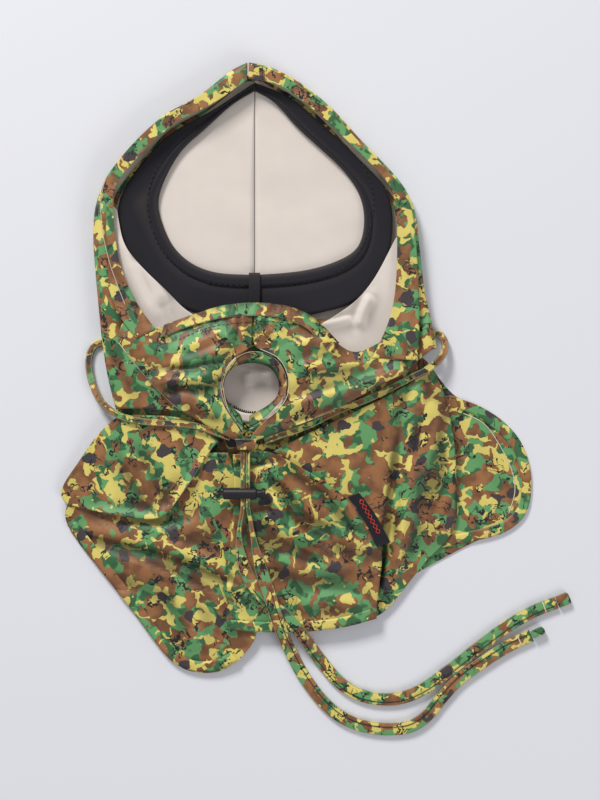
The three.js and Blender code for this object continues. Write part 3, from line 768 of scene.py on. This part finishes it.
def panel(name, levels, flat, folds=(), waves=None, turn=0, shift=(0, 0, 0), look=None, rests=(),
          held="laid", rim=1):
    """A panel of cloth over the CAD sheet of the same name: the print, the folds, then the thickness."""
    made = mesh_object(name + "_cloth", skin(name))
    smoothed(made, levels)
    points = points_of(made)
    printed(made, points, turn, shift)
    cut = sum(p.area for p in made.data.polygons)
    before = points[:, 2].copy()
    points = points.copy()
    points[:, 2] += fold_height(points, folds)
    if waves:
        points[:, 2] += ripple(points, *waves)
    if folds or waves:
        points[:, 2] = under_cords(points, before)
        points[:, 2] = under_lock(points, before)
    hollows(made, points)
    points[:, 2] = np.maximum(points[:, 2], (THICK + FLOOR_CLEAR) * MM)
    set_points(made, points)
    made.data.materials.append(look or CAMOUFLAGE)
    made.data.materials.append(REVERSE if look is None else look)
    made.data.shade_smooth()
    solid = made.modifiers.new("thickness", "SOLIDIFY")
    solid.thickness = THICK * MM
    solid.offset = -1
    solid.use_even_offset = True
    solid.material_offset = 1
    solid.material_offset_rim = rim
    made.data.update()
    area = sum(p.area for p in made.data.polygons)
    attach(made, GARMENT)
    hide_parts(name)
    SHEETS[name] = (made, flat, round(cut, 5), held, rests)
    print(f"{name}: {len(points)} points, cut {cut * 1e4:.1f} cm2, folded {area * 1e4:.1f} cm2")
    return made


# %% [markdown]
# ## Hood
# The flat hood shows its lining inside a black headband. Its sides fold round to the face opening, where
# a facing of the printed cloth turns under. At the left the lining slips out beside the band in soft lobes.

# %% Hood back, lining and sides
panel("hood_back_left", 3, (0.125, 0.205), turn=4, shift=(0.9, 0.1, 0), rests=[table])
panel("hood_back_right", 3, (0.135, 0.205), turn=-3, shift=(0.2, 0.7, 0), rests=[table])
panel("crown_lining_left", 3, (0.125, 0.205), look=LINING, waves=(80, 60, 0.8, 3))
panel("crown_lining_right", 3, (0.135, 0.205), look=LINING, waves=(100, 60, 0.8, 5))
SIDE_LEFT = [
    fold([(-151, 150), (-154, 110), (-150, 60), (-140, 20)], (5, 9), 2.2),
    fold([(-148, 34), (-132, 2), (-112, -26)], (5, 5), 1.6),
    fold([(-160, 40), (-152, 8), (-140, -24)], (6, 6), 1.4),
]
panel("hood_side_left", 3, (0.09, 0.33), SIDE_LEFT, (20, 26, 1.0, 4), 20, (0.4, 1.3, 0), held="folded")
SIDE_RIGHT = [
    fold([(108, 150), (116, 100), (112, 50), (98, 12)], (8, 5), 2.2),
    fold([(104, 30), (112, 0), (116, -30)], (6, 6), 1.8),
]
panel("hood_side_right", 3, (0.07, 0.33), SIDE_RIGHT, (-20, 24, 1.0, 8), -35, (1.4, 0.3, 0), held="folded")
panel("face_facing_left", 3, (0.026, 0.29), (), (0, 20, 0.8, 2), 60, (1.1, 1.9, 0), held="folded")
panel("face_facing_right", 3, (0.027, 0.31), (), (0, 20, 0.8, 6), -25, (2.1, 0.4, 0), held="folded")
panel("headband_left", 2, (0.06, 0.29), look=BLACK_KNIT)
panel("headband_right", 2, (0.06, 0.29), look=BLACK_KNIT)
panel("headband_hem_left", 2, (0.014, 0.24), look=BLACK_KNIT)
panel("headband_hem_right", 2, (0.014, 0.24), look=BLACK_KNIT)
panel("headband_seam_tape", 2, (0.01, 0.037), look=BLACK_KNIT)
LOBES = [
    fold([(-142, 112), (-131, 80), (-118, 52), (-106, 34)], (6, 5), 1.8),
    fold([(-124, 92), (-112, 70), (-102, 50)], (4, 9), 1.9),
]
panel("side_lining_left", 3, (0.05, 0.15), LOBES, look=LINING, held="folded")
CREASE = [
    fold([(18, 35), (34, 38), (46, 41)], (2, 5), 1.6),
    fold([(60, 60), (52, 44), (48, 30)], (5, 4), 2.4),
]
panel("side_lining_right", 3, (0.05, 0.13), CREASE, look=LINING, held="folded")
CHIN = [fold([(-40, 0), (-26, -4), (-14, -6)], (2, 6), 1.6), fold([(-39, -2), (-38, -16)], (5, 2), 1.4)]
nape = panel("neck_lining", 4, (0.23, 0.095), CHIN, look=LINING)
nape.data.materials[1] = CAMOUFLAGE
MOUTH = Vector((-34, -14, 0)) * MM
MOUTH_REACH = 27 * MM
for polygon in nape.data.polygons:
    if (polygon.center.xy - MOUTH.xy).length > MOUTH_REACH:
        polygon.material_index = 1
nape.modifiers["thickness"].material_offset = 0
panel("cord_casing", 3, (0.235, 0.037), turn=8, shift=(0.3, 0.3, 0))

# %% [markdown]
# ## Mask
# The mask is gathered into a seam over the nose. The pull of the cord bunches it into rolls that run from
# the mouth to both sides, so each roll is a ridge with a steeper side towards the mouth.

# %% Mask
MASK_LEFT = [
    fold([(-114, -13), (-96, -10), (-77, -9), (-58, -3)], (7, 4), 4.6),
    fold([(-108, 4), (-84, 5), (-66, 10), (-51, 18)], (8, 3.5), 3.4),
    fold([(-104, 14), (-82, 18), (-62, 26), (-46, 30)], (6, 5), 2.4),
    fold([(-124, -6), (-106, -25), (-82, -42)], (6, 4), 3.0),
    fold([(-98, -22), (-76, -28), (-60, -34)], (6, 5), 2.4),
    fold([(-42, 44), (-41, 32), (-43, 20)], (2.2, 2.2), 1.8),
    fold([(-48, 42), (-50, 30), (-56, 20)], (2.6, 2.2), 1.4),
]
panel("mask_left", 3, (0.13, 0.125), MASK_LEFT, (60, 15, 1.2, 1), 10, (0.05, 0.35, 0), held="gathered")
MASK_RIGHT = [
    fold([(-10, -32), (20, -24), (50, -14), (98, 4)], (5, 8), 3.6),
    fold([(-10, -52), (14, -44), (40, -33), (70, -18)], (4, 7), 3.4),
    fold([(-3, 4), (14, 0), (36, 3), (66, 5)], (5, 4), 2.4),
    fold([(0, 18), (24, 22), (48, 24)], (6, 4), 2.2),
    fold([(-27, 43), (-28, 32), (-24, 20)], (2.2, 2.2), 1.8),
    fold([(-21, 41), (-19, 30), (-12, 22)], (2.4, 2.4), 1.5),
]
panel("mask_right", 3, (0.145, 0.125), MASK_RIGHT, (120, 15, 1.2, 2), -14, (0.75, 0.15, 0), held="gathered")
panel("nose_channel", 3, (0.16, 0.012), (), (0, 5, 0.8, 3), 30, (0.5, 0.5, 0), held="gathered")
panel("mouth_hem", 2, (0.012, 0.19), turn=75, shift=(0.6, 0.2, 0), held="folded")
panel("throat_tab", 3, (0.019, 0.011), (), (80, 3, 0.8, 3), 75, (0.61, 0.9, 0), held="gathered")
panel("overlock_seam", 2, (0.056, 0.01), look=LINING, held="folded")

# %% [markdown]
# ## Cape
# The cape spreads round the throat in three layers: the back, the left front and the bib on top. Its
# corners are turned over, so the bib ends in a rolled edge and the shoulder folds down onto the left front.

# %% Cape
panel("cape_back", 3, (0.365, 0.205), (), (30, 45, 0.8, 7), -6, (0.15, 0.95, 0), rests=[table])
panel("cape_back_hem", 2, (0.012, 0.21), turn=40, shift=(0.85, 0.25, 0), held="folded")
FRONT_LEFT = [
    fold([(-174, -126), (-140, -134), (-110, -142), (-84, -150), (-50, -166)], (9, 3.5), 2.8),
    fold([(-176, -134), (-140, -142), (-110, -150), (-84, -158), (-40, -176)], (3, 3), -1.4),
    fold([(-160, -146), (-126, -156), (-94, -170), (-60, -186)], (3, 9), 2.2),
    fold([(-176, -166), (-150, -178), (-122, -184)], (4, 8), 1.6),
    fold([(-96, -176), (-84, -200), (-80, -226)], (7, 5), 1.4),
    fold([(-130, -128), (-100, -130), (-80, -124), (-66, -108)], (4, 5), 1.6),
]
panel("cape_front_left", 3, (0.16, 0.18), FRONT_LEFT, (-30, 34, 1.0, 8), 12, (0.35, 0.05, 0),
      rests=[table], rim=0)
panel("cape_front_left_hem", 2, (0.011, 0.21), turn=12, shift=(0.352, 0.045, 0), held="folded", rim=0)
BIB = [
    fold([(-20, -62), (4, -78), (26, -94), (42, -110), (58, -136)], (4, 5), 3.4),
    fold([(-34, -91), (-17, -104), (-8, -118), (6, -132), (34, -145)], (2, 10), 4.2),
    fold([(-30, -84), (-13, -97), (-2, -112), (10, -126), (36, -138)], (7, 2.2), -2.6),
    fold([(-74, -79), (-52, -79), (-32, -77), (-14, -73)], (4, 2), -2.0),
    fold([(-70, -160), (-50, -170), (-28, -180)], (5, 2.2), -2.2),
    fold([(-64, -116), (-52, -128), (-48, -146)], (5, 5), 2.0),
    fold([(-24, -122), (0, -134), (34, -134), (58, -142)], (8, 6), 2.2),
    fold([(-66, -150), (-44, -148), (-20, -158)], (6, 4), 2.2),
    fold([(-20, -150), (10, -160), (44, -156)], (7, 5), 2.4),
    fold([(-66, -176), (-40, -172), (-12, -182)], (7, 5), 2.0),
    fold([(0, -190), (24, -184), (60, -188)], (7, 4), 2.0),
    fold([(-66, -64), (-54, -82), (-52, -104)], (5, 5), 1.8),
]
panel("cape_bib", 3, (0.13, 0.15), BIB, (70, 26, 1.0, 9), 12, (0.35, 0.05, 0), rim=0)
panel("cape_bib_hem", 2, (0.125, 0.011), turn=12, shift=(0.352, 0.052, 0), held="folded", rim=0)
SHOULDER = [
    fold([(-172, -112), (-146, -117), (-112, -120), (-98, -111), (-84, -92), (-68, -68)], (6, 3), 2.6),
    fold([(-134, -60), (-122, -84), (-106, -114)], (2.5, 6), 2.2),
]
panel("cape_shoulder_left", 3, (0.13, 0.09), SHOULDER, (10, 26, 1.0, 11), 48, (0.45, 0.15, 0), held="folded")
SIDE_FOLDS = [
    fold([(96, -8), (95, -28), (88, -48)], (5, 6), 2.2),
    fold([(88, -44), (84, -66), (82, -92), (74, -120)], (5, 4), 2.6),
    fold([(84, -50), (80, -70), (77, -94), (71, -126), (67, -158), (64, -186)], (3.5, 3), -3.0),
    fold([(92, -62), (89, -96), (84, -130), (76, -172)], (7, 3), 3.2),
    fold([(108, -20), (104, -60), (92, -96)], (7, 7), 1.6),
    fold([(124, -36), (127, -80), (120, -126)], (4, 7), 2.2),
]
panel("cape_side_right", 3, (0.16, 0.21), SIDE_FOLDS, (80, 30, 1.1, 12), -40, (0.65, 0.55, 0), held="folded")
panel("woven_label", 3, (0.013, 0.055), look=BLACK_KNIT)

# %% [markdown]
# ## Threads and edges
# Stitches and the pale edges of seams are thin strands that lie on the cloth. Each point of a route
# drops onto the highest panel under it, so a strand follows the folds. A row of stitches is the same
# strand in short pieces.

# %% Strands on the cloth
ABOVE = 80 * MM
DROP = 3 * MM


def top_of(x, y, panels):
    """The highest point of some panels at x, y."""
    best = None
    for name in panels:
        if name not in trees:
            trees[name] = tree_of(SHEETS[name][0])
        hit = trees[name].ray_cast(Vector((x, y, ABOVE)), Vector((0, 0, -1)))[0]
        if hit is not None and (best is None or hit.z > best):
            best = hit.z
    return best


def runs(piece, panels, high):
    """Lays a route on the panels, and cuts it where it leaves them or where its height jumps."""
    found = [[]]
    for p in piece:
        z = top_of(p.x, p.y, panels)
        last = found[-1][-1].z if found[-1] else z
        if z is None or abs(z - last) > DROP:
            found.append([])
        if z is not None:
            found[-1].append(Vector((p.x, p.y, z + 0.5 * high * MM)))
    return [path for path in found if len(path) > 1]


def strands(name, pieces, panels, look, wide=0.5, high=0.3):
    """Lays short routes of metres on the panels, as one piece of several flattened strands."""
    shape = bmesh.new()
    laid = 0
    corners = ((-1, 0), (-0.6, 1), (0.6, 1), (1, 0), (0, -1))
    ring = [(u * wide / 2 * MM, v * high / 2 * MM, 0) for u, v in corners]

    def section(k, share):
        return ring

    for piece in pieces:
        for path in runs(piece, panels, high):
            sweep(shape, path, section)
            laid += 1
    bmesh.ops.recalc_face_normals(shape, faces=shape.faces)
    made = mesh_object(name, shape)
    made.data.materials.append(look)
    made.data.shade_smooth()
    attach(made, GARMENT)
    print(f"{name}: {laid} strands")
    return made


def line(points, step=1.5):
    """One unbroken strand."""
    return [smooth_route([(x, y, 0) for x, y in points], step)]


def dashes(points, length, gap):
    """Cuts a route into stitches."""
    path = smooth_route([(x, y, 0) for x, y in points], length / 2)
    stride = 2 + max(1, round(gap / (length / 2)))
    return [path[i : i + 3] for i in range(0, len(path) - 2, stride)]


def teeth(points, length, spacing):
    """Short stitches across a route."""
    path = smooth_route([(x, y, 0) for x, y in points], spacing)
    pieces = []
    for before, after in zip(path, path[1:]):
        across = (after - before).cross(Vector((0, 0, 1))).normalized() * length * MM / 2
        pieces.append([before - across, before, before + across])
    return pieces


def teeth_at(path, share, length):
    """One stitch across a route."""
    k = int(share * (len(path) - 1))
    across = (path[k + 1] - path[k]).cross(Vector((0, 0, 1))).normalized() * length * MM / 2
    return [[path[k] + across * u for u in (-1, -0.5, 0, 0.5, 1)]]


print("a strand is cut where it jumps by more than", DROP, "m")

# %% Seams and hems
RING = [
    (-28, 14.8), (-12.8, 6.8), (-5.6, -9.2), (-7.2, -22.8), (-16.8, -35.6), (-34, -47), (-44, -47),
    (-52.8, -33.2), (-56.8, -18.8), (-56.8, -9.2), (-50.4, 3.6), (-41.6, 12.4), (-28, 14.8),
]
MASK = ["mask_left", "mask_right", "mouth_hem"]
strands("ring_edge", line(RING), MASK, PALE_THREAD, 0.55, 0.5)
ring_inside = [(-31 + (x + 31) * 0.93, -14 + (y + 14) * 0.93) for x, y in RING]
# A dark strand just inside the pale ring, not a thread: painted shadow under the turned edge of the mouth's
# hem.
strands("ring_shadow", line(ring_inside), MASK, DARK_THREAD_AND_SHADOW, 0.7, 0.4)
SLANT = [(-140, 20), (-128, 4), (-114, -12), (-98, -28), (-80, -43)]
strands("mask_edge_left", line(SLANT), ["mask_left", "hood_side_left"], PALE_THREAD, 0.7, 0.5)
NOSE_ROW = [(-92, 22), (-74, 30), (-56, 34), (-34, 36), (-12, 36), (8, 32)]
strands("nose_row", dashes(NOSE_ROW, 2.4, 1.2), ["mask_left", "mask_right"], DARK_THREAD_AND_SHADOW)
BAND_LEFT = [
    (-76, 192), (-95, 179), (-109, 162), (-116, 146), (-118, 128), (-114, 109), (-106, 92), (-94, 80),
    (-82, 72), (-61, 67), (-38, 65.5),
]
BAND_RIGHT = [(-56 - x, y) for x, y in BAND_LEFT]
BAND = ["headband_left", "headband_right", "headband_hem_left", "headband_hem_right"]
strands("band_row_left", dashes(BAND_LEFT, 3, 1), BAND, BLACK_THREAD, 0.7, 0.5)
strands("band_row_right", dashes(BAND_RIGHT, 3, 1), BAND, BLACK_THREAD, 0.7, 0.5)
HOOD_LEFT = [(-150, 152), (-154, 134), (-153, 110), (-148, 86), (-142, 68), (-135, 50)]
HOOD_EDGE = ["hood_side_left", "face_facing_left"]
strands("hood_row_left", line(HOOD_LEFT), HOOD_EDGE, PALE_THREAD, 0.5, 0.4)
FLAP = [(134, -36), (150, -44), (162, -60), (172, -80), (175, -98), (170, -116)]
strands("flap_row", line(FLAP), ["cape_back", "cape_back_hem"], PALE_THREAD, 0.7, 0.4)
SERGE = [(-53, -29), (-46, -33), (-38, -35.4), (-32, -35.6)]
SERGED = ["overlock_seam", "neck_lining"]
strands("serge_bed", line(SERGE), SERGED, BLACK_THREAD, 3.2, 0.5)
strands("serge_teeth", teeth(SERGE, 3.4, 1.7), SERGED + ["mask_left"], PALE_THREAD, 0.7, 1.4)


def beside(path, offset, start, end):
    """The part of a route between two shares of its length, moved sideways by millimetres."""
    part = path[int(start * (len(path) - 1)) : int(end * (len(path) - 1)) + 1]
    moved = []
    for before, after in zip(part, part[1:]):
        across = (after - before).cross(Vector((0, 0, 1))).normalized()
        moved.append(before + across * offset * MM)
    return moved


for name, path, offset in (("tail_left_tape", CORD_PATHS[1], 2.2), ("tail_right_tape", CORD_PATHS[2], -1.8)):
    strands(name + "_row", [beside(path, offset, 0.27, 1)], [name], BLACK_THREAD, 0.6, 0.5)
    strands(name + "_bar", teeth_at(path, 0.975, 9), [name], PALE_THREAD, 1.1, 0.5)
DIAMONDS = 7
motif = []
for side in (-1, 1):
    zigzag = []
    for k in range(2 * DIAMONDS + 1):
        share = k / (2 * DIAMONDS)
        along = Vector((51 + 15 * share, -104 - 27 * share, 0)) * MM
        zigzag.append(along + Vector((0.87, 0.48, 0)) * (side * (k % 2) * 1.7 * MM))
    motif.append(zigzag)
strands("label_motif", motif, ["woven_label"], RED_THREAD, 0.8, 0.4)

# %% [markdown]
# ## Cord lock
# The barrel and plunger keep their shapes, because the two strands pass through them, and get the finish
# of moulded plastic with a fine grain. The spring is made again as one circle turned along its axis. Like
# the frame's spring it stays rigid, so it would stand through a pressed plunger; the share of its length
# left then is only printed.

# %% Cord lock finishes
for name in ("cord_lock_barrel", "cord_lock_plunger"):
    for material_slot in nodes[name].material_slots:
        material_slot.material = PLASTIC
    print(name, len(nodes[name].data.polygons), "faces")

# %% Spring
COIL = {"turns": 3, "radius": 2.2, "wire": 0.5, "steps": 20}
low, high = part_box("cord_lock_spring")
half_wire = COIL["wire"] / 2 * MM
coil_start = low[0] + half_wire
coil_length = high[0] - low[0] - COIL["wire"] * MM
middle = Vector((coil_start, (low[1] + high[1]) / 2, (low[2] + high[2]) / 2))
shape = bmesh.new()
bmesh.ops.create_circle(shape, cap_ends=False, segments=8, radius=half_wire)
bmesh.ops.translate(shape, verts=shape.verts, vec=middle + Vector((0, COIL["radius"] * MM, 0)))
steps = COIL["turns"] * COIL["steps"]
bmesh.ops.spin(
    shape,
    geom=shape.verts[:] + shape.edges[:],
    cent=middle,
    axis=(1, 0, 0),
    dvec=(coil_length / steps, 0, 0),
    angle=COIL["turns"] * 2 * math.pi,
    steps=steps,
)
bmesh.ops.holes_fill(shape, edges=shape.edges, sides=8)
bmesh.ops.recalc_face_normals(shape, faces=shape.faces)
spring = mesh_object("spring_coil", shape)
spring.data.materials.append(STEEL)
spring.data.shade_smooth()
press = next(j for j in frame["record"]["behaviour"]["joints"] if j["name"] == "plunger_press")
pressed = 1 - press["range_m"][1] / (high[0] - low[0])
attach(spring, LOCK)
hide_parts("cord_lock_spring")
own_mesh(spring)
print(f"spring: {coil_length * 1000:.1f} mm long, pressed to {pressed:.2f} of that")

print(len(SHEETS), "sheets declared")
